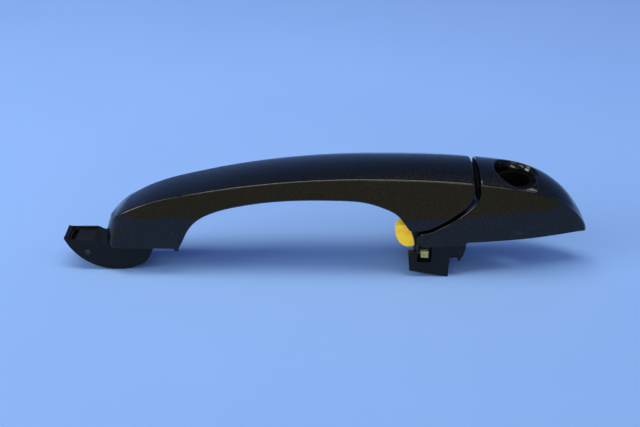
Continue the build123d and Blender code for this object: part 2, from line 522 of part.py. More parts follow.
# ================================================================= nodes
OUT = {
    "cap_shell": [cap_shell],
    "cap_carrier": [cap_carrier],
    "cap_seal": [cap_seal],
    "cap_screws": cap_screws,
    "guide_block": [guide_block],
    "block_clips": block_clips,
    "block_screws": block_screws,
    "retaining_insert": [retaining_insert],
    "stop_pad": [stop_pad],
    "grip_cover": [grip_cover],
    "grip_liner": [grip_liner],
    "grip_core": [grip_core],
    "liner_screws": liner_screws,
    "pivot_arm": [pivot_arm],
    "arm_screw": arm_screws,
    "link_pin": [link_pin],
    "foot_seal": [foot_seal],
    "rear_leg": [rear_leg],
    "leg_screw": leg_screws,
    "leg_shoe": leg_shoe_solids,
    "foot_pad": [foot_pad],
}

os.makedirs("parts", exist_ok=True)
for name, parts in OUT.items():
    moved = [p.moved(Location((-X0, 0, 0))) for p in parts]
    shape = moved[0] if len(moved) == 1 else Compound(moved)
    export_step(shape, "parts/" + name + ".step")
    bb = shape.bounding_box()
    print("%-18s solids %d vol %.1f  x %.1f..%.1f y %.1f..%.1f z %.1f..%.1f valid %s" % (
        name, len(moved), sum(p.volume for p in moved), bb.min.X, bb.max.X, bb.min.Y, bb.max.Y,
        bb.min.Z, bb.max.Z, all(p.is_valid for p in moved)))
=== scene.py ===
import bpy
import bmesh
import json
import math
import numpy as np
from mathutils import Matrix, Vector


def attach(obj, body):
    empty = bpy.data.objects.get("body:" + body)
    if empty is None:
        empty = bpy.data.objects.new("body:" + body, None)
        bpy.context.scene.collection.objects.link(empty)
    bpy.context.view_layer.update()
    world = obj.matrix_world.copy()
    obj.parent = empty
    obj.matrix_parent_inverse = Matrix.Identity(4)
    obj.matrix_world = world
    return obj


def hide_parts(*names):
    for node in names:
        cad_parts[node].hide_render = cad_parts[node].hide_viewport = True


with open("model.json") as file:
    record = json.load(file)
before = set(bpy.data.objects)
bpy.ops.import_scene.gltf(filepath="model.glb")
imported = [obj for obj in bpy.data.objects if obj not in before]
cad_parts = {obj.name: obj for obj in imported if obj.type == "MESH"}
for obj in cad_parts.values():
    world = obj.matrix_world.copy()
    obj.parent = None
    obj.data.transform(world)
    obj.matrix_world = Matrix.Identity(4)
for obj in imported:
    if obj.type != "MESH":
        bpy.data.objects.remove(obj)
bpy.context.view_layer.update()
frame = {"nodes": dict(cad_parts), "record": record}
N = frame["nodes"]

# All drawing numbers below are millimetres in the drawing datum; DX takes them to the row frame.
DX = 2.7
WALL = 2.4

SKIN = np.array([
    (-101.6, 5.2, 26.0, 0.5, 8.6, 14.5), (-98.0, 6.9, 27.0, 0.6, 10.8, 14.5),
    (-95.5, 7.6, 28.4, 0.6, 11.2, 14.5), (-93.0, 8.1, 30.5, 0.6, 11.4, 14.5),
    (-90.0, 8.8, 32.8, 0.7, 11.5, 14.5), (-87.0, 9.3, 34.3, 0.8, 11.6, 14.5),
    (-80.0, 10.15, 37.6, 0.9, 11.7, 14.5), (-70.0, 11.0, 40.8, 1.0, 11.9, 14.6),
    (-58.0, 11.75, 43.4, 1.1, 12.2, 15.5), (-40.0, 12.5, 46.95, 1.5, 12.6, 18.0),
    (-20.0, 13.1, 49.75, 1.9, 13.0, 21.0), (0.0, 13.6, 51.5, 2.2, 13.3, 23.0),
    (20.0, 14.0, 52.25, 2.7, 13.6, 22.0), (40.0, 14.3, 52.05, 3.2, 13.8, 19.0),
    (60.0, 14.6, 51.15, 3.8, 13.6, 18.5), (72.0, 14.75, 49.95, 4.1, 12.7, 18.4),
    (80.0, 14.75, 49.1, 4.35, 11.9, 18.4), (90.0, 14.5, 47.4, 4.6, 10.5, 18.4),
    (97.0, 13.9, 45.65, 4.7, 9.4, 18.4), (103.0, 12.8, 43.4, 4.5, 8.0, 18.4),
    (109.0, 11.0, 40.15, 4.1, 6.4, 18.4), (114.0, 9.0, 36.1, 3.5, 5.0, 18.4),
    (118.0, 7.0, 31.9, 2.4, 3.8, 18.4), (121.5, 4.9, 27.6, 1.5, 2.5, 18.4),
    (124.3, 2.7, 22.9, 0.8, 1.3, 17.4), (125.9, 1.3, 19.6, 0.3, 0.7, 15.4)])
ARCH = [(-65.9, 14.5), (-65.2, 15.8), (-63.1, 20.2), (-60.8, 24.6), (-58.8, 27.3),
        (-55.0, 30.5), (-51.2, 32.6), (-45.6, 34.8), (-38.2, 36.8), (-29.1, 38.6),
        (-18.1, 40.0), (-5.4, 40.7), (9.1, 40.7), (18.1, 40.1), (23.6, 38.9), (29.1, 36.9),
        (32.8, 35.1), (35.6, 33.0), (38.0, 30.0), (40.2, 26.8), (41.2, 25.2)]
GRIP_REAR = [(69.3, 51.0), (69.9, 47.0), (69.0, 42.3), (66.7, 38.2), (63.3, 34.9),
             (59.0, 31.3), (54.8, 28.4), (50.3, 26.1), (46.4, 25.2)]
CAP_FRONT = [(71.6, 50.0), (72.1, 46.6), (71.2, 42.6), (69.2, 39.4), (66.7, 36.4), (63.4, 33.1),
             (59.1, 29.6), (54.7, 26.7), (50.4, 24.5), (47.6, 23.9), (46.0, 23.9)]
NOSE_Z = np.array([14.5, 17.0, 19.5, 21.5, 23.5, 25.4, 27.6])
NOSE_X = np.array([-100.5, -100.9, -100.5, -99.9, -99.25, -98.6, -97.9])
LINER = np.array([(-98.0, 5.6), (-95.5, 7.6), (-92.0, 8.5), (-80.0, 8.9), (-66.0, 9.1),
                  (-50.0, 9.5), (-20.0, 10.2), (0.0, 10.5), (20.0, 10.8), (39.0, 11.0)])
KEY_X, KEY_Y, KEY_R, KEY_TOP = 89.1, -2.6, 9.3, 46.6


# ------------------------------------------------------------------ curves and the outer skin
def dense_rows():
    """Skin stations every 0.25 mm, on a monotone curve, then eased along the length."""
    xs = np.arange(SKIN[0, 0], SKIN[-1, 0] + 1e-6, 0.25)
    X, V = SKIN[:, 0], SKIN[:, 1:]
    d = (V[1:] - V[:-1]) / (X[1:] - X[:-1])[:, None]
    m = np.zeros_like(V)
    m[0], m[-1] = d[0], d[-1]
    prod = d[:-1] * d[1:]
    safe = np.where(prod > 0, d[:-1] + d[1:], 1.0)
    m[1:-1] = np.where(prod > 0, 2 * prod / safe, 0.0)
    i = np.clip(np.searchsorted(X, xs, side="right") - 1, 0, len(X) - 2)
    h = (X[i + 1] - X[i])[:, None]
    t = ((xs - X[i]) / h[:, 0])[:, None]
    out = ((2 * t**3 - 3 * t**2 + 1) * V[i] + (t**3 - 2 * t**2 + t) * h * m[i]
           + (3 * t**2 - 2 * t**3) * V[i + 1] + (t**3 - t**2) * h * m[i + 1])

    def ease(a, sigma):
        k = np.arange(-int(4 * sigma / 0.25), int(4 * sigma / 0.25) + 1) * 0.25
        g = np.exp(-0.5 * (k / sigma) ** 2)
        g /= g.sum()
        n = len(k) // 2
        pad = np.concatenate([2 * a[0] - a[n:0:-1], a, 2 * a[-1] - a[-2:-n - 2:-1]])
        return np.stack([np.convolve(pad[:, c], g, mode="valid") for c in range(a.shape[1])], 1)
    wide, fine = ease(out, 5.0), ease(out, 1.2)
    wgt = np.clip((xs + 96) / 14, 0, 1) * np.clip((120 - xs) / 14, 0, 1)
    wgt = (wgt * wgt * (3 - 2 * wgt))[:, None]
    return xs, wide * wgt + fine * (1 - wgt)


ROW_X, ROW_V = dense_rows()


def rows(x):
    """w, zc, h, wb, zl at x (any array)."""
    x = np.asarray(x, float)
    return [np.interp(x, ROW_X, ROW_V[:, c]) for c in range(5)]


def bevel_c(w):
    return np.minimum(0.88, 0.2 * w)


def flank_y(x, z):
    """Half width of the skin's flank at (x, z)."""
    w, zc, h, wb, zl = rows(x)
    c = bevel_c(w)
    zm = zc - (zc - zl) * 0.38
    wm = w + (wb - w) * 0.28 + 0.45
    z0, z1, z2, z3 = 11.0 + 0 * zl, np.maximum(zl, 11.5), zm, zc - c
    z2 = np.maximum(z2, z1 + 0.2)
    z3 = np.maximum(z3, z2 + 0.2)
    y0, y1, y2, y3 = 0.97 * wb, wb, wm, w
    h0, h1, h2 = z1 - z0, z2 - z1, z3 - z2
    a, b, e = 2 * (h0 + h1), h1, 2 * (h1 + h2)
    r1 = 6 * ((y2 - y1) / h1 - (y1 - y0) / h0)
    r2 = 6 * ((y3 - y2) / h2 - (y2 - y1) / h1)
    det = a * e - b * b
    m1, m2 = (r1 * e - b * r2) / det, (a * r2 - b * r1) / det

    def seg(p, q, yp, yq, mp, mq, hh):
        u, v = q - z, z - p
        return (mp * u**3 + mq * v**3) / (6 * hh) + (yp / hh - mp * hh / 6) * u \
            + (yq / hh - mq * hh / 6) * v
    s = np.where(z < z1, seg(z0, z1, y0, y1, 0 * m1, m1, h0),
                 np.where(z < z2, seg(z1, z2, y1, y2, m1, m2, h1),
                          seg(z2, z3, y2, y3, m2, 0 * m2, h2)))
    lin = np.where(z < z1, y0 + (y1 - y0) * (z - z0) / h0,
                   np.where(z < z2, y1 + (y2 - y1) * (z - z1) / h1,
                            y2 + (y3 - y2) * (z - z2) / h2))
    k = np.clip((np.asarray(x, float) - 108) / 9, 0, 1)
    return s * (1 - k) + lin * k


def crown_z(x, y):
    """Height of the crown at (x, y), between the creases."""
    w, zc, h, wb, zl = rows(x)
    c = bevel_c(w)
    b = w - c
    z1, z2 = zc + 0.12 * c, zc + h
    s = z2 - z1
    r = (b * b + s * s) / (2 * s)
    return z2 - r + np.sqrt(np.maximum(r * r - np.minimum(np.abs(y), b) ** 2, 0))


def spline(pts, step=0.2):
    """Natural cubic through the points, by chord length, resampled every step."""
    p = np.array(pts, float)
    t = np.concatenate([[0], np.cumsum(np.hypot(*np.diff(p, axis=0).T))])
    n = len(p)
    h = np.diff(t)
    a = np.eye(n)
    r = np.zeros((n, 2))
    for i in range(1, n - 1):
        a[i, i - 1], a[i, i], a[i, i + 1] = h[i - 1], 2 * (h[i - 1] + h[i]), h[i]
        r[i] = 6 * ((p[i + 1] - p[i]) / h[i] - (p[i] - p[i - 1]) / h[i - 1])
    m = np.linalg.solve(a, r)
    s = np.linspace(0, t[-1], max(3, int(t[-1] / step)))
    i = np.clip(np.searchsorted(t, s, side="right") - 1, 0, n - 2)
    u, v, hh = (t[i + 1] - s)[:, None], (s - t[i])[:, None], h[i][:, None]
    return (m[i] * u**3 + m[i + 1] * v**3) / (6 * hh) + (p[i] / hh - m[i] * hh / 6) * u \
        + (p[i + 1] / hh - m[i + 1] * hh / 6) * v


def densify(pts, step=0.2):
    p = np.array(pts, float)
    out = [p[:1]]
    for a, b in zip(p, p[1:]):
        n = max(1, int(np.hypot(*(b - a)) / step))
        out.append(a + (b - a) * (np.arange(1, n + 1) / n)[:, None])
    return np.concatenate(out)


def arclen(p):
    return np.concatenate([[0], np.cumsum(np.hypot(*np.diff(p, axis=0).T))])


def even(p, step=0.1):
    s = arclen(p)
    q = np.linspace(0, s[-1], int(s[-1] / step) + 1)
    return np.stack([np.interp(q, s, p[:, 0]), np.interp(q, s, p[:, 1])], 1)


def soften(p, sigma):
    """Round the path's corners a little; the ends stay put."""
    p = even(p)
    k = np.arange(-int(4 * sigma / 0.1), int(4 * sigma / 0.1) + 1) * 0.1
    g = np.exp(-0.5 * (k / sigma) ** 2)
    g /= g.sum()
    n = len(k) // 2
    pad = np.concatenate([2 * p[0] - p[n:0:-1], p, 2 * p[-1] - p[-2:-n - 2:-1]])
    return np.stack([np.convolve(pad[:, c], g, mode="valid") for c in (0, 1)], 1)


def at_len(p, q):
    s = arclen(p)
    return np.stack([np.interp(q, s, p[:, 0]), np.interp(q, s, p[:, 1])], 1)


def normal_left(p):
    t = np.gradient(p, axis=0)
    t /= np.maximum(np.hypot(t[:, 0], t[:, 1]), 1e-9)[:, None]
    return np.stack([-t[:, 1], t[:, 0]], 1)


def nearest_len(p, q):
    d = np.hypot(p[:, 0] - q[0], p[:, 1] - q[1])
    return arclen(p)[int(d.argmin())]


NB, NV, NC, NBEV = 6, 30, 13, 4


def shell_grid(bottom, b_knots, t_knots, counts, left, right, r_bottom, l_kind, r_kind,
               fit_x=None, lip=0.0):
    """Half of a closed painted shell as a grid of points. Rows run from the underside's seam over
    the lower edge's radius, the flank, the crease and the crown to the centre line.
    l_kind and r_kind: ("cut", radius) for an end cut across, ("nose", length, power) for an end
    that closes on the centre line."""
    sB = [nearest_len(bottom, q) for q in b_knots]
    sb, tx = [], []
    for i, n in enumerate(counts):
        last = i == len(counts) - 1
        f = np.linspace(0, 1, n + 1)[: (n + 1 if last else n)]
        sb.append(sB[i] + (sB[i + 1] - sB[i]) * f)
        tx.append(t_knots[i] + (t_knots[i + 1] - t_knots[i]) * f)
    sb, tx = np.concatenate(sb), np.concatenate(tx)
    # even out the jumps in spacing
    for _ in range(30):
        sb[1:-1] = 0.5 * sb[1:-1] + 0.25 * (sb[:-2] + sb[2:])
        tx[1:-1] = 0.5 * tx[1:-1] + 0.25 * (tx[:-2] + tx[2:])
    nb_all = normal_left(bottom)
    Bp = at_len(bottom, sb)
    s_all = arclen(bottom)
    Bn = np.stack([np.interp(sb, s_all, nb_all[:, c]) for c in (0, 1)], 1)
    Bn /= np.hypot(Bn[:, 0], Bn[:, 1])[:, None]
    rb = r_bottom(Bp[:, 0])
    B = Bp + Bn * rb[:, None]
    w, zc, h, wb, zl = rows(tx)
    T = np.stack([tx, zc - bevel_c(w)], 1)
    v = np.linspace(0, 1, NV)
    v = v + 0.10 * np.sin(2 * np.pi * v) / (2 * np.pi) * -1.0

    def side(path, b0, t0, inset, sign):
        n = normal_left(path)
        p = path + n * (inset * sign)
        s = arclen(p)
        q = at_len(p, v * s[-1])
        q = q + (b0 - q[0]) * (1 - v)[:, None] + (t0 - q[-1]) * v[:, None]
        m = np.stack([np.interp(v * s[-1], s, n[:, c]) for c in (0, 1)], 1)
        return q, -m * sign
    if l_kind[0] == "cut":
        L, Lm = side(left, B[0], T[0], l_kind[1], -1)
    else:
        L = left(v, B[0], T[0])
    if r_kind[0] == "cut":
        R, Rm = side(right, B[-1], T[-1], r_kind[1], 1)
    else:
        R = right(v, B[-1], T[-1])
    u = (tx - tx[0]) / (tx[-1] - tx[0])
    ub = (sb - sb[0]) / (sb[-1] - sb[0])
    uu = (0.5 * (u + ub))[:, None, None]
    vv = v[None, :, None]
    P = ((1 - vv) * B[:, None] + vv * T[:, None] + (1 - uu) * L[None] + uu * R[None]
         - ((1 - uu) * (1 - vv) * B[0] + uu * (1 - vv) * B[-1] + (1 - uu) * vv * T[0]
            + uu * vv * T[-1]))
    nu = len(tx)
    g = np.ones(nu)
    s_in = np.zeros(nu)
    drop = np.zeros(nu)
    # bottom radius rows, from the underside (th = 90) up to the flank (th = 0)
    th = np.radians(np.linspace(90, 0, NB + 1)[:-1])
    bot = B[:, None] - Bn[:, None] * (rb[:, None, None] * np.sin(th)[None, :, None])
    bin_ = rb[:, None] * (1 - np.cos(th))[None]
    XZ = np.concatenate([bot, P], 1)
    YI = np.concatenate([bin_, np.zeros((nu, NV))], 1)
    TX = tx.copy()

    def end_cols(col, m, rad, k=5):
        out = []
        for ph in np.radians(np.linspace(0, 90, k + 1)[1:]):
            mv = np.concatenate([np.repeat(m[:1], NB, 0), m])
            out.append((XZ[col] + mv * rad * math.sin(ph), YI[col], rad * (1 - math.cos(ph)),
                        TX[col] + (rad if col else -rad) * math.sin(ph)))
        if lip:
            mv = np.concatenate([np.repeat(m[:1], NB, 0), m])
            zz = XZ[col][:, 1]
            wgt = np.clip((zz - 41.4) / 2.0, 0, 1)[:, None]
            s_lip = rad + 1.5
            sgn = 1 if col else -1
            out.append((XZ[col] + mv * rad, YI[col] * 1.0, s_lip, TX[col] + sgn * rad))
            for f in (0.6, 1.0):
                out.append((XZ[col] + mv * (rad + lip * f * wgt), YI[col] * 1.0,
                            s_lip + 0.25 * (f > 0.9), TX[col] + sgn * (rad + lip * f)))
        return out

    def nose_cols(col, length, k=16):
        sign = -1 if col == 0 else 1
        out = []
        for f in np.linspace(0, 1, k + 1)[1:]:
            t = 1 - math.sin(f * math.pi / 2)
            q = XZ[col].copy()
            q[:, 0] += sign * length * (1 - t)
            x_top = TX[col] + sign * length * (1 - t)
            w_, zc_, h_, wb_, zl_ = rows(x_top)
            z_new, z_old, zb = float(zc_ - bevel_c(w_)), q[-1, 1], q[NB, 1]
            q[NB:, 1] = zb + (q[NB:, 1] - zb) * (z_new - zb) / (z_old - zb)
            if fit_x is not None:
                q[:, 0] += (fit_x(q[:, 1]) - fit_x(XZ[col][:, 1])) * (1 - t)
            out.append((q, YI[col], t, x_top))
        return out
    XZs, YIs, SI, G, TXs, DR = list(XZ), list(YI), list(s_in), list(g), list(TX), list(drop)
    for kind, col in ((r_kind, -1), (l_kind, 0)):
        if kind[0] == "cut":
            for q, yi, s, t in end_cols(col, (Rm if col else Lm), kind[1]):
                ins = (len(XZs) if col else 0)
                XZs.insert(ins, q); YIs.insert(ins, yi); SI.insert(ins, s)
                G.insert(ins, 1.0); TXs.insert(ins, t); DR.insert(ins, 0.0)
        else:
            p = kind[2]
            for q, yi, t, x in nose_cols(col, kind[1]):
                ins = (len(XZs) if col else 0)
                XZs.insert(ins, q); YIs.insert(ins, yi); SI.insert(ins, 0.0)
                G.insert(ins, max(0.0, 1 - (1 - t) ** p) ** (1 / p)); TXs.insert(ins, x)
                DR.insert(ins, kind[3] * (1 - math.sqrt(max(0.0, 1 - (1 - t) ** 2))))
    XZ, YI = np.array(XZs), np.array(YIs)
    SI, G, TX, DR = np.array(SI), np.array(G), np.array(TXs), np.array(DR)
    vfull = np.concatenate([np.zeros(NB), v])
    y = flank_y(XZ[:, :, 0], XZ[:, :, 1]) - YI - SI[:, None]
    y = y * G[:, None]
    z = XZ[:, :, 1] - (SI + DR)[:, None] * vfull[None] ** 3
    flank = np.stack([XZ[:, :, 0], -y, z], 2)
    # crease: a small radius between flank and crown
    w, zc, h, wb, zl = rows(TX)
    c = bevel_c(w)
    A = np.stack([(w - SI) * G, zc - c - SI - DR], 1)
    Bc = np.stack([(w - c - SI) * G, zc + 0.12 * c - SI - DR], 1)
    K = np.stack([(w - SI - 0.02) * G, zc - 0.02 * c - SI - DR], 1)
    f = (np.arange(1, NBEV + 1) / (NBEV + 1))[None, :, None]
    bev = (1 - f) ** 2 * A[:, None] + 2 * f * (1 - f) * K[:, None] + f ** 2 * Bc[:, None]
    tt = np.cos(np.linspace(0, np.pi / 2, NC))
    tt = 0.55 * tt + 0.45 * np.linspace(1, 0, NC)
    yc = (w - c)[:, None] * tt[None]
    zcn = crown_z(TX[:, None] + 0 * yc, yc) - (SI + DR)[:, None]
    yc = np.maximum((w - c - SI), 0.01)[:, None] * tt[None] * G[:, None]
    top = np.concatenate([bev, np.stack([yc, zcn], 2)], 1)
    top = np.stack([TX[:, None] + 0 * top[:, :, 0], -top[:, :, 0], top[:, :, 1]], 2)
    return np.concatenate([flank, top], 1), XZ, G


def under_rows(half, seam_y, depth, up):
    """Adds the seam row and the channel row under the first row of a half shell."""
    first = half[:, 0]
    sy = np.minimum(seam_y, np.maximum(-first[:, 1] - 0.25, 0) * 1.0)
    seam = first.copy()
    seam[:, 1] = -sy
    ch = seam.copy()
    ch[:, 0] += up[:, 0] * depth
    ch[:, 2] += up[:, 1] * depth
    return np.concatenate([ch[:, None], seam[:, None], half], 1)


def closed_mesh(name, half, cut_left, cut_right, hole=None):
    """Mirrors a half grid over y = 0 and closes it; hole = (first column, last column) leaves
    the crown open between those columns for the key recess."""
    nu, nv, _ = half.shape
    full = np.concatenate([half, (half * [1, -1, 1])[:, -2::-1]], 1)
    nw = full.shape[1]
    co = full.reshape(-1, 3)
    idx = lambda i, j: i * nw + (j % nw)
    faces = []
    c0 = nv - NC                      # first crown row
    for i in range(nu - 1):
        for j in range(nw):
            if hole and hole[0] <= i < hole[1] and c0 <= j < nw - 1 - c0:
                continue
            faces.append((idx(i, j), idx(i + 1, j), idx(i + 1, j + 1), idx(i, j + 1)))
    for on, i, flip in ((cut_left, 0, False), (cut_right, nu - 1, True)):
        if not on:
            continue
        for j in range(nv - 1):
            a, b, c, d = idx(i, j), idx(i, j + 1), idx(i, nw - 2 - j), idx(i, nw - 1 - j)
            q = [a, b, c, d] if b != c else [a, b, d]
            faces.append(tuple(q[::-1] if flip else q))
    co = list(map(tuple, co))
    if hole:
        loop = [idx(i, c0) for i in range(hole[0], hole[1])]
        loop += [idx(hole[1], j) for j in range(c0, nw - 1 - c0)]
        loop += [idx(i, nw - 1 - c0) for i in range(hole[1], hole[0], -1)]
        loop += [idx(hole[0], j) for j in range(nw - 1 - c0, c0, -1)]
        pts = np.array([co[k] for k in loop])
        ang = np.arctan2(pts[:, 1] - KEY_Y, pts[:, 0] - KEY_X)
        rad = np.hypot(pts[:, 1] - KEY_Y, pts[:, 0] - KEY_X)
        ang = np.unwrap(ang)
        # spread the angles evenly as the rings come closer to the circle
        evn = ang[0] + np.linspace(0, 2 * np.pi, len(ang), endpoint=False) * np.sign(ang[-1] - ang[0])
        fil, flare = 0.7, 1.0
        rings = []
        for k in range(1, 9):
            f = k / 8
            a = ang * (1 - 0.6 * f) + evn * 0.6 * f
            r_edge = np.interp(a, ang if ang[-1] > ang[0] else ang[::-1],
                               rad if ang[-1] > ang[0] else rad[::-1], period=None)
            r = r_edge * (1 - f) + (KEY_R + fil + flare) * f
            x, y = KEY_X + r * np.cos(a), KEY_Y + r * np.sin(a)
            rings.append(np.stack([x, y, crown_z(x, y)], 1))
        a_end = ang * 0.4 + evn * 0.6
        for th in np.radians(np.linspace(0, 90, 8)[1:]):
            r = KEY_R + flare + fil * (1 - math.sin(th))
            x, y = KEY_X + r * np.cos(a_end), KEY_Y + r * np.sin(a_end)
            rings.append(np.stack([x, y, crown_z(x, y) - fil * (1 - math.cos(th))], 1))
        ztop = rings[-1][:, 2]
        for f in (0.1, 0.2, 0.3, 0.42, 0.56, 0.7, 0.85, 1.0):
            r = KEY_R - 0.35 + (flare + 0.35) * (1 - f) ** 1.5
            x, y = KEY_X + r * np.cos(a_end), KEY_Y + r * np.sin(a_end)
            rings.append(np.stack([x, y, ztop * (1 - f) + (KEY_TOP - 0.3) * f], 1))
        rings.append(rings[-1] * [1, 1, 0] + [0, 0, 22.0])
        prev = loop
        m = len(loop)
        for ring in rings:
            base = len(co)
            co += list(map(tuple, ring))
            cur = list(range(base, base + m))
            for k in range(m):
                k2 = (k + 1) % m
                faces.append((prev[k], cur[k], cur[k2], prev[k2]))
            prev = cur
        faces.append(tuple(prev))
    co = [((x - DX) * 0.001, y * 0.001, z * 0.001) for x, y, z in co]
    me = bpy.data.meshes.new(name)
    me.from_pydata(co, [], faces)
    bm = bmesh.new()
    bm.from_mesh(me)
    bmesh.ops.remove_doubles(bm, verts=bm.verts, dist=2e-6)
    bmesh.ops.dissolve_degenerate(bm, dist=1e-7, edges=bm.edges)
    bmesh.ops.recalc_face_normals(bm, faces=bm.faces)
    if bm.calc_volume(signed=True) < 0:
        bmesh.ops.reverse_faces(bm, faces=bm.faces)
    bm.to_mesh(me)
    open_edges = sum(1 for e in bm.edges if len(e.link_faces) != 2)
    print("shell", name, "faces", len(bm.faces), "open or bad edges", open_edges)
    bm.free()
    ob = bpy.data.objects.new(name, me)
    bpy.context.scene.collection.objects.link(ob)
    return ob


def smooth(ob, deg=32):
    for p in ob.data.polygons:
        p.use_smooth = True
    ob.data.set_sharp_from_angle(angle=math.radians(deg))


def boolean_cut(ob, cutter):
    m = ob.modifiers.new("cut", "BOOLEAN")
    m.operation, m.solver, m.object = "DIFFERENCE", "EXACT", cutter
    bpy.context.view_layer.update()
    dg = bpy.context.evaluated_depsgraph_get()
    me = bpy.data.meshes.new_from_object(ob.evaluated_get(dg))
    ob.modifiers.remove(m)
    ob.data = me
    bpy.data.objects.remove(cutter)


def prism_mesh(name, pts, z0, z1):
    n = len(pts)
    co = [((x - DX) * 0.001, y * 0.001, z0 * 0.001) for x, y in pts]
    co += [((x - DX) * 0.001, y * 0.001, z1 * 0.001) for x, y in pts]
    fs = [tuple(range(n))[::-1], tuple(range(n, 2 * n))]
    fs += [(i, (i + 1) % n, n + (i + 1) % n, n + i) for i in range(n)]
    me = bpy.data.meshes.new(name)
    me.from_pydata(co, [], fs)
    bm = bmesh.new()
    bm.from_mesh(me)
    bmesh.ops.recalc_face_normals(bm, faces=bm.faces)
    bm.to_mesh(me)
    bm.free()
    ob = bpy.data.objects.new(name, me)
    bpy.context.scene.collection.objects.link(ob)
    return ob


# ------------------------------------------------------------------ painted grip
NOSE_LEN = 5.0
arch_d = spline(ARCH)
grip_bottom = soften(np.concatenate([densify([(-95.6, 14.5), (-66.1, 14.5)]), arch_d[2:-1],
                                     densify([(41.3, 25.2), (45.6, 25.2)])[1:]]), 0.45)
rear = spline(GRIP_REAR)[::-1]
zc69 = float(np.interp(69.3, ROW_X, ROW_V[:, 1])) - 0.6
rear = rear[rear[:, 1] < zc69 + 0.4]


def grip_left(v, b0, t0):
    z = b0[1] + (t0[1] - b0[1]) * v
    x = np.interp(z, NOSE_Z, NOSE_X) + NOSE_LEN
    q = np.stack([x, z], 1)
    return q + (b0 - q[0]) * (1 - v)[:, None] + (t0 - q[-1]) * v[:, None]


def r_grip(x):
    return np.interp(x, [-100, -67, -64, -55, -40, 20, 34, 39, 60],
                     [0.7, 0.6, 0.9, 1.6, 1.9, 1.9, 1.6, 0.8, 0.6])


grip_half, gXZ, gG = shell_grid(
    grip_bottom,
    [(-95.5, 14.5), (-68.0, 14.5), (-64.9, 16.4), (-58.8, 27.3), (-45.6, 34.8), (9.0, 40.7),
     (29.1, 36.9), (38.0, 30.0), (41.6, 25.2), (45.6, 25.2)],
    [-93.3, -70.0, -65.5, -57.5, -45.6, 9.0, 34.0, 50.0, 61.0, 68.4],
    [26, 8, 14, 14, 46, 26, 20, 14, 10],
    grip_left, rear, r_grip, ("nose", NOSE_LEN, 2.3, 1.2), ("cut", 0.95),
    fit_x=lambda z: np.interp(z, NOSE_Z, NOSE_X))
bx = grip_half[:, 0, 0]
seam = np.interp(bx, LINER[:, 0], LINER[:, 1]) + 0.12
deep = np.where((bx > -97.9) & (bx < 38.6), WALL + 0.12, 0.0)
up = normal_left(grip_half[:, 0][:, [0, 2]])
up[np.isnan(up)] = 0
grip_half = under_rows(grip_half, seam, deep, up)
cover = closed_mesh("grip_skin", grip_half, False, True)
smooth(cover, 34)

# ------------------------------------------------------------------ painted end cap
cap_bottom = soften(np.concatenate([densify([(46.3, 17.6), (47.2, 16.45), (67.6, 16.4),
                                             (67.95, 18.4), (123.9, 18.4)])]), 0.12)
front = spline(CAP_FRONT)[::-1]
front = np.concatenate([densify([(46.2, 17.6), (46.0, 23.2)]), front[3:]])
front = soften(front, 0.5)
TAIL = 2.0


def cap_right(v, b0, t0):
    return b0 + (t0 - b0) * v[:, None]


def r_cap(x):
    return np.interp(x, [46, 68, 70, 118, 124], [0.4, 0.4, 0.7, 0.7, 0.3])


cap_half, cXZ, cG = shell_grid(
    cap_bottom,
    [(46.3, 17.6), (48.0, 16.4), (66.6, 16.4), (68.8, 18.4), (90.0, 18.4), (110.0, 18.4),
     (123.9, 18.4)],
    [72.55, 73.6, 77.0, 79.5, 93.0, 110.0, 123.9],
    [6, 16, 12, 22, 28, 30],
    front, cap_right, r_cap, ("cut", 0.95), ("nose", TAIL, 2.0, 0.4), lip=1.3)
seam = np.maximum(-cap_half[:, 0, 1] - 2.0, 0.2)
cap_half = under_rows(cap_half, seam, np.zeros(len(seam)), np.zeros((len(seam), 2)))
tcol = cap_half[:, -1, 0]
c_lo = int(np.argmin(np.abs(tcol - 76.2)))
c_hi = int(np.argmin(np.abs(tcol - 102.2)))
cap = closed_mesh("cap_skin", cap_half, True, False, hole=(c_lo, c_hi))
xs = np.concatenate([[68.5], np.arange(70, 115.6, 2.0), [115.7]])
ys = np.interp(xs, SKIN[:, 0], SKIN[:, 4]) - 2.5
pl = [(x, y) for x, y in zip(xs, ys)]
boolean_cut(cap, prism_mesh("cut_a", pl + [(x, -y) for x, y in pl[::-1]], 15.0, 22.75))
boolean_cut(cap, prism_mesh("cut_b", [(40.0, -10.4), (53.4, -10.4), (53.4, 10.4), (40.0, 10.4)],
                            10.0, 40.0))
smooth(cap, 34)


def draft_flanks(ob, keep=0.08):
    """Shading normals of the flanks lean up by the mould's draft; lower edge and crown keep
    theirs."""
    me = ob.data
    n = len(me.loops)
    v = np.empty(n * 3, np.float32)
    me.corner_normals.foreach_get("vector", v)
    v = v.reshape(-1, 3).astype(float)
    e = np.degrees(np.arcsin(np.clip(v[:, 2], -1, 1)))
    li = np.empty(n, np.int32)
    me.loops.foreach_get("vertex_index", li)
    co = np.empty(len(me.vertices) * 3, np.float32)
    me.vertices.foreach_get("co", co)
    X = co.reshape(-1, 3)[li, 0] * 1000.0 + DX
    draft = 8.4 + 1.9 * np.clip((-72 - X) / 22, 0, 1) + 3.0 * np.clip((X - 92) / 24, 0, 1)
    side = np.clip((np.abs(v[:, 1]) - 0.45) / 0.3, 0, 1)
    low = np.clip((e + 30) / 14, 0, 1)
    m = side * low * low * (3 - 2 * low)
    t = np.clip((e - draft) / (26 - draft), 0, 1)
    near = np.where(t < 1, draft + (26 - draft) * t ** 1.8, e)
    e = np.where(e < draft, e + (1 - keep) * (draft - e) * m, e + (near - e) * side)
    hz = v[:, :2] / np.maximum(np.hypot(v[:, 0], v[:, 1]), 1e-6)[:, None]
    c = np.cos(np.radians(e))
    out = np.stack([hz[:, 0] * c, hz[:, 1] * c, np.sin(np.radians(e))], 1)
    me.normals_split_custom_set([tuple(t) for t in out.tolist()])


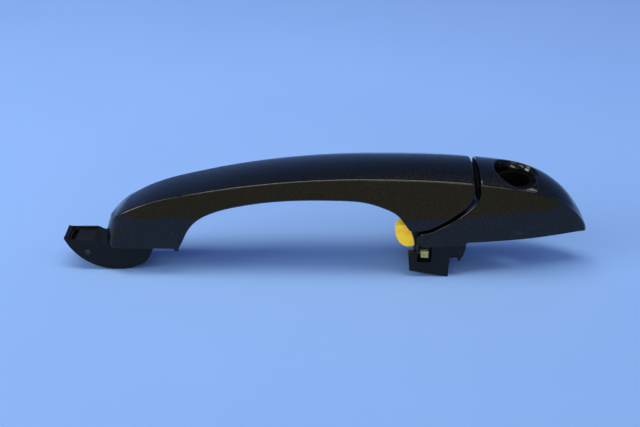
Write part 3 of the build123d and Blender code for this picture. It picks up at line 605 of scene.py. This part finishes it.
def mark_gap_shade(ob, path, ahead):
    """Vertex mark for painted shade, 1 on the faces inside the gap between grip and cap; the paint
    shader makes them near black and matte, without coat.
    """
    me = ob.data
    co = np.empty(len(me.vertices) * 3, np.float32)
    me.vertices.foreach_get("co", co)
    co = co.reshape(-1, 3) * 1000.0
    x, y, z = co[:, 0] + DX, np.abs(co[:, 1]), co[:, 2]
    d2 = np.full(len(x), 1e9)
    for q in path[::2]:
        d2 = np.minimum(d2, (x - q[0]) ** 2 + (z - q[1]) ** 2)
    order = np.argsort(path[:, 1])
    px = np.interp(z, path[order, 1], path[order, 0])
    near = (d2 < 0.5) | (((x - px) * ahead > 0) & (z > 24.5) & (np.abs(x - px) < 4.0))
    w, zc, h, wb, zl = rows(x)
    side_in = np.where(z < zc - bevel_c(w), flank_y(x, np.minimum(z, zc)) - y, 9.0)
    top_in = crown_z(x, y) - z
    g = np.clip((np.minimum(side_in, top_in) - 0.4) / 0.45, 0, 1) * near
    at = me.attributes.new("gap", "FLOAT", "POINT")
    at.data.foreach_set("value", g.astype(np.float32))


mark_gap_shade(cover, rear, 1.0)
mark_gap_shade(cap, front, -1.0)
draft_flanks(cover)
draft_flanks(cap)


# ------------------------------------------------------------------ materials
def new_mat(name):
    m = bpy.data.materials.new(name)
    m.use_nodes = True
    nt = m.node_tree
    nt.nodes.clear()
    out = nt.nodes.new("ShaderNodeOutputMaterial")
    b = nt.nodes.new("ShaderNodeBsdfPrincipled")
    nt.links.new(b.outputs[0], out.inputs[0])
    tc = nt.nodes.new("ShaderNodeTexCoord")
    return m, nt, b, tc.outputs["Object"]


def noise(nt, vec, scale, detail=3.0, rough=0.55, dist=0.0):
    n = nt.nodes.new("ShaderNodeTexNoise")
    n.inputs["Scale"].default_value = scale
    n.inputs["Detail"].default_value = detail
    n.inputs["Roughness"].default_value = rough
    n.inputs["Distortion"].default_value = dist
    nt.links.new(vec, n.inputs["Vector"])
    return n.outputs["Fac"]


def voronoi(nt, vec, scale, feature="F1"):
    n = nt.nodes.new("ShaderNodeTexVoronoi")
    n.feature = feature
    n.inputs["Scale"].default_value = scale
    nt.links.new(vec, n.inputs["Vector"])
    return n


def ramp(nt, fac, stops):
    r = nt.nodes.new("ShaderNodeValToRGB")
    el = r.color_ramp.elements
    while len(el) > 1:
        el.remove(el[-1])
    el[0].position, el[0].color = stops[0][0], (*stops[0][1], 1)
    for p, c in stops[1:]:
        e = el.new(p)
        e.color = (*c, 1)
    nt.links.new(fac, r.inputs["Fac"])
    return r.outputs["Color"]


def grey(nt, fac, lo, hi, a=0.3, b=0.7):
    return ramp(nt, fac, [(a, (lo, lo, lo)), (b, (hi, hi, hi))])


def mix(nt, fac, a, b):
    m = nt.nodes.new("ShaderNodeMix")
    m.data_type = "RGBA"
    for sock, val in ((m.inputs[0], fac), (m.inputs[6], a), (m.inputs[7], b)):
        if hasattr(val, "is_linked"):
            nt.links.new(val, sock)
        elif isinstance(val, (int, float)):
            sock.default_value = val
        else:
            sock.default_value = (*val, 1)
    return m.outputs[2]


def bump(nt, b, height, strength, dist, coat=False):
    n = nt.nodes.new("ShaderNodeBump")
    n.inputs["Strength"].default_value = strength
    n.inputs["Distance"].default_value = dist
    nt.links.new(height, n.inputs["Height"])
    nt.links.new(n.outputs[0], b.inputs["Normal"])
    return n


def paint():
    m, nt, b, P = new_mat("pearl_paint")
    b.inputs["Coat Weight"].default_value = 1.0
    b.inputs["Coat Roughness"].default_value = 0.03
    b.inputs["Coat IOR"].default_value = 1.41
    b.inputs["Specular IOR Level"].default_value = 0.06
    cells = voronoi(nt, P, 5200)
    sep = nt.nodes.new("ShaderNodeSeparateColor")
    nt.links.new(cells.outputs["Color"], sep.inputs[0])
    flake = ramp(nt, sep.outputs[0], [(0.0, (0.0018, 0.0018, 0.0016)),
                                      (0.62, (0.0035, 0.0032, 0.0020)),
                                      (0.84, (0.018, 0.0152, 0.0066)),
                                      (0.965, (0.075, 0.062, 0.026)),
                                      (1.0, (0.05, 0.05, 0.045))])
    cloud = noise(nt, P, 70, 3)
    base = mix(nt, grey(nt, cloud, 0.25, 0.6), flake, (0.0048, 0.0042, 0.0020))
    # Painted shade in the gap between grip and cap: where the gap mark is 1 the colour turns near
    # black, roughness goes to 0.7, and coat and metal drop to 0.
    gap = nt.nodes.new("ShaderNodeAttribute")
    gap.attribute_name = "gap"
    gap_shade = gap.outputs["Fac"]
    nt.links.new(mix(nt, gap_shade, base, (0.0015, 0.0015, 0.0015)), b.inputs["Base Color"])
    rough = noise(nt, P, 900, 2)
    nt.links.new(mix(nt, gap_shade, grey(nt, rough, 0.30, 0.40), (0.7, 0.7, 0.7)),
                 b.inputs["Roughness"])
    painted_shade_term = mix(nt, gap_shade, (1, 1, 1), (0, 0, 0))
    nt.links.new(painted_shade_term, b.inputs["Coat Weight"])
    nt.links.new(painted_shade_term, b.inputs["Metallic"])
    bump(nt, b, sep.outputs[1], 0.35, 0.00002)
    return m


def moulded(name, col, col2, rough=(0.32, 0.5), grain=2600, strength=0.35, coat=0.0, spec=0.30):
    m, nt, b, P = new_mat(name)
    n1 = noise(nt, P, 160, 4, 0.6)
    nt.links.new(mix(nt, grey(nt, n1, 0.0, 1.0), col, col2), b.inputs["Base Color"])
    n2 = noise(nt, P, 420, 4)
    nt.links.new(grey(nt, n2, rough[0], rough[1]), b.inputs["Roughness"])
    b.inputs["Specular IOR Level"].default_value = spec
    if coat:
        b.inputs["Coat Weight"].default_value = coat
        b.inputs["Coat Roughness"].default_value = 0.25
    v = voronoi(nt, P, grain)
    bump(nt, b, v.outputs["Distance"], strength, 0.00003)
    return m


def metal(name, col, col2, rough=(0.25, 0.42), brushed=(1, 1, 1)):
    m, nt, b, P = new_mat(name)
    b.inputs["Metallic"].default_value = 1.0
    mp = nt.nodes.new("ShaderNodeMapping")
    mp.inputs["Scale"].default_value = brushed
    nt.links.new(P, mp.inputs["Vector"])
    n1 = noise(nt, mp.outputs[0], 900, 4)
    nt.links.new(mix(nt, grey(nt, n1, 0, 1), col, col2), b.inputs["Base Color"])
    nt.links.new(grey(nt, n1, rough[0], rough[1]), b.inputs["Roughness"])
    bump(nt, b, n1, 0.2, 0.00003)
    return m


def yellow_pad():
    m, nt, b, P = new_mat("yellow_elastomer")
    n1 = noise(nt, P, 210, 3, 0.55, 0.4)
    n2 = noise(nt, P, 620, 3, 0.6)
    c1 = ramp(nt, n1, [(0.30, (0.97, 0.72, 0.02)), (0.54, (0.97, 0.58, 0.008)),
                       (0.66, (0.95, 0.38, 0.006)), (0.80, (0.66, 0.23, 0.005))])
    nt.links.new(mix(nt, grey(nt, n2, 0.0, 0.30, 0.35, 0.75), c1, (0.97, 0.76, 0.05)),
                 b.inputs["Base Color"])
    nt.links.new(grey(nt, n2, 0.34, 0.55), b.inputs["Roughness"])
    b.inputs["Subsurface Weight"].default_value = 0.15
    b.inputs["Subsurface Radius"].default_value = (0.002, 0.001, 0.0004)
    b.inputs["Subsurface Scale"].default_value = 0.5
    # Painted glow: a faint yellow emission makes the pad look brightly lit; it is no lamp.
    b.inputs["Emission Color"].default_value = (1.0, 0.72, 0.02, 1.0)
    b.inputs["Emission Strength"].default_value = 0.16
    bump(nt, b, n2, 0.3, 0.0002)
    return m


def olive_clip():
    m, nt, b, P = new_mat("yellow_passivate")
    b.inputs["Metallic"].default_value = 0.55
    n1 = noise(nt, P, 700, 4)
    lug = ramp(nt, n1, [(0.3, (0.30, 0.31, 0.10)), (0.55, (0.44, 0.44, 0.16)),
                        (0.75, (0.62, 0.58, 0.28))])
    # Painted shade on the clip: above 16.5 mm height and on the stem's low-x end the colour turns
    # dark olive, standing in for the shade under the grip; the height ramp and the stem ramp are its
    # masks.
    sx = nt.nodes.new("ShaderNodeSeparateXYZ")
    nt.links.new(P, sx.inputs[0])
    painted_shade_term = nt.nodes.new("ShaderNodeMapRange")
    painted_shade_term.inputs["From Min"].default_value, painted_shade_term.inputs["From Max"].default_value = 0.0140, 0.0165
    nt.links.new(sx.outputs[2], painted_shade_term.inputs["Value"])
    stem = nt.nodes.new("ShaderNodeMapRange")
    stem.inputs["From Min"].default_value, stem.inputs["From Max"].default_value = 0.0444, 0.0438
    nt.links.new(sx.outputs[0], stem.inputs["Value"])
    clip_shade = nt.nodes.new("ShaderNodeMath")
    clip_shade.operation = "MAXIMUM"
    nt.links.new(painted_shade_term.outputs[0], clip_shade.inputs[0])
    nt.links.new(stem.outputs[0], clip_shade.inputs[1])
    nt.links.new(mix(nt, clip_shade.outputs[0], lug, (0.026, 0.028, 0.018)), b.inputs["Base Color"])
    nt.links.new(grey(nt, n1, 0.35, 0.55), b.inputs["Roughness"])
    bump(nt, b, n1, 0.25, 0.00004)
    return m


PAINT = paint()
BLACK = moulded("satin_black", (0.0034, 0.0034, 0.0035), (0.0062, 0.0062, 0.0060), (0.30, 0.46),
                spec=0.2)
INNER = moulded("inner_nylon", (0.0020, 0.0020, 0.0021), (0.0040, 0.0039, 0.0036), (0.42, 0.62),
                1800, spec=0.02)
SEAL = moulded("seal_rubber", (0.006, 0.006, 0.006), (0.012, 0.012, 0.012), (0.7, 0.9), 1400, 0.8)
STOP = moulded("stop_rubber", (0.008, 0.008, 0.008), (0.014, 0.014, 0.014), (0.5, 0.7), 2400)
POM = moulded("shoe_pom", (0.010, 0.010, 0.010), (0.016, 0.016, 0.015), (0.35, 0.5))
YELLOW = yellow_pad()
OLIVE = olive_clip()
ZINC = metal("zinc_steel", (0.48, 0.49, 0.51), (0.62, 0.63, 0.64))
PIN = metal("pin_steel", (0.045, 0.040, 0.036), (0.085, 0.07, 0.06), (0.3, 0.45), (1, 8, 1))
BRASS = metal("insert_brass", (0.52, 0.38, 0.14), (0.66, 0.50, 0.22), (0.2, 0.34), (1, 6, 6))
SLOT_MAT = {"paint": PAINT, "satin_black": BLACK, "inner_nylon": INNER, "seal_rubber": SEAL,
            "stop_rubber": STOP, "yellow_elastomer": YELLOW, "yellow_passivate": OLIVE,
            "zinc_steel": ZINC, "pin_steel": PIN, "insert_brass": BRASS, "shoe_pom": POM}
for sp in frame["record"]["subparts"]:
    ob = N[sp["node"]]
    ob.data.materials.clear()
    ob.data.materials.append(SLOT_MAT[sp["material_slot"]])


def edge_round(node, width, seg=2, deg=38):
    ob = N[node]
    m = ob.modifiers.new("weld", "WELD")
    m.merge_threshold = 2e-6
    m = ob.modifiers.new("edges", "BEVEL")
    m.width, m.segments, m.limit_method = width, seg, "ANGLE"
    m.angle_limit = math.radians(deg)
    m.harden_normals = False
    m = ob.modifiers.new("wn", "WEIGHTED_NORMAL")
    m.keep_sharp = True
    for p in ob.data.polygons:
        p.use_smooth = True


for node, wd in (("pivot_arm", 0.00028), ("guide_block", 0.00022), ("rear_leg", 0.0003),
                 ("grip_liner", 0.0002), ("cap_carrier", 0.00015), ("block_clips", 0.00008)):
    edge_round(node, wd)

for ob, slot, node, body in ((cover, "paint", "grip_cover", "grip"),
                             (cap, "paint", "cap_shell", "end_cap")):
    ob.data.materials.clear()
    ob.data.materials.append(PAINT)
    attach(ob, body)
    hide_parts(node)


# ------------------------------------------------------------------ floor, light, camera
def floor():
    me = bpy.data.meshes.new("floor")
    s = 3.0
    me.from_pydata([(-s, -s, -0.00005), (s, -s, -0.00005), (s, s, -0.00005), (-s, s, -0.00005)],
                   [], [(0, 1, 2, 3)])
    ob = bpy.data.objects.new("floor", me)
    bpy.context.scene.collection.objects.link(ob)
    m, nt, b, P = new_mat("floor_paper")
    n = noise(nt, P, 6, 3)
    paper = mix(nt, grey(nt, n, 0, 1), (0.232, 0.405, 0.780), (0.246, 0.423, 0.800))
    # Painted shade: the paper is drawn about a fifth darker towards the front (low y), standing in
    # for the lamps' falloff there.
    near = mix(nt, grey(nt, n, 0, 1), (0.186, 0.330, 0.640), (0.196, 0.345, 0.660))
    sy = nt.nodes.new("ShaderNodeSeparateXYZ")
    nt.links.new(P, sy.inputs[0])
    painted_falloff = nt.nodes.new("ShaderNodeMapRange")
    painted_falloff.inputs["From Min"].default_value, painted_falloff.inputs["From Max"].default_value = -0.12, 0.24
    nt.links.new(sy.outputs[1], painted_falloff.inputs["Value"])
    paper = mix(nt, painted_falloff.outputs[0], near, paper)
    edge = nt.nodes.new("ShaderNodeMapRange")
    edge.inputs["From Min"].default_value, edge.inputs["From Max"].default_value = -0.132, -0.130
    nt.links.new(sy.outputs[1], edge.inputs["Value"])
    nt.links.new(mix(nt, edge.outputs[0], (0.30, 0.285, 0.22), paper), b.inputs["Base Color"])
    b.inputs["Roughness"].default_value = 0.85
    b.inputs["Specular IOR Level"].default_value = 0.2
    me.materials.append(m)


floor()


def area(name, loc, look, sx, sy, power, color=(1, 1, 1)):
    li = bpy.data.lights.new(name, "AREA")
    li.shape, li.size, li.size_y, li.energy, li.color = "RECTANGLE", sx, sy, power, color
    ob = bpy.data.objects.new(name, li)
    bpy.context.scene.collection.objects.link(ob)
    ob.location = loc
    ob.rotation_euler = (Vector(look) - Vector(loc)).to_track_quat("-Z", "Y").to_euler()
    return ob


area("key_soft", (-0.10, -0.09, 1.10), (-0.05, 0.03, 0.03), 1.10, 0.22, 10.2, (1.0, 0.92, 0.74))
area("front_high", (-0.10, -0.95, 0.85), (0, 0, 0.03), 1.5, 0.16, 3.0, (1.0, 0.94, 0.80))
area("left_soft", (-1.0, -0.35, 0.50), (0, 0, 0.03), 0.45, 0.45, 5.6, (1.0, 0.97, 0.90))
area("left_high", (-0.85, -0.28, 0.95), (0, 0, 0.03), 0.6, 0.20, 1.5, (1.0, 0.96, 0.86))
area("right_high", (0.85, -0.28, 0.95), (0, 0, 0.03), 0.6, 0.20, 1.5, (1.0, 0.96, 0.86))
area("front_warm", (0.0, -1.30, 0.30), (0, 0, 0.03), 1.8, 0.35, 0.6, (1.0, 0.90, 0.62))
area("front_spark", (0.30, -1.20, 0.30), (0.08, 0, 0.04), 0.55, 0.20, 2.0, (1.0, 0.97, 0.88))

w = bpy.data.worlds.new("studio")
bpy.context.scene.world = w
w.use_nodes = True
bg = w.node_tree.nodes["Background"]
bg.inputs[0].default_value = (0.26, 0.44, 1.0, 1)
bg.inputs[1].default_value = 0.41

cam_d = bpy.data.cameras.new("cam")
cam = bpy.data.objects.new("cam", cam_d)
bpy.context.scene.collection.objects.link(cam)
cam_d.sensor_width, cam_d.lens = 36.0, 55.07
cam_d.clip_start, cam_d.clip_end = 0.01, 20
cam.location = (-0.0027, -0.39837, 0.2569)
cam.rotation_euler = (Vector((-0.0027, 0, 0.0269)) - cam.location).to_track_quat("-Z", "Y").to_euler()
bpy.context.scene.camera = cam
bpy.context.scene.view_settings.view_transform = "Standard"
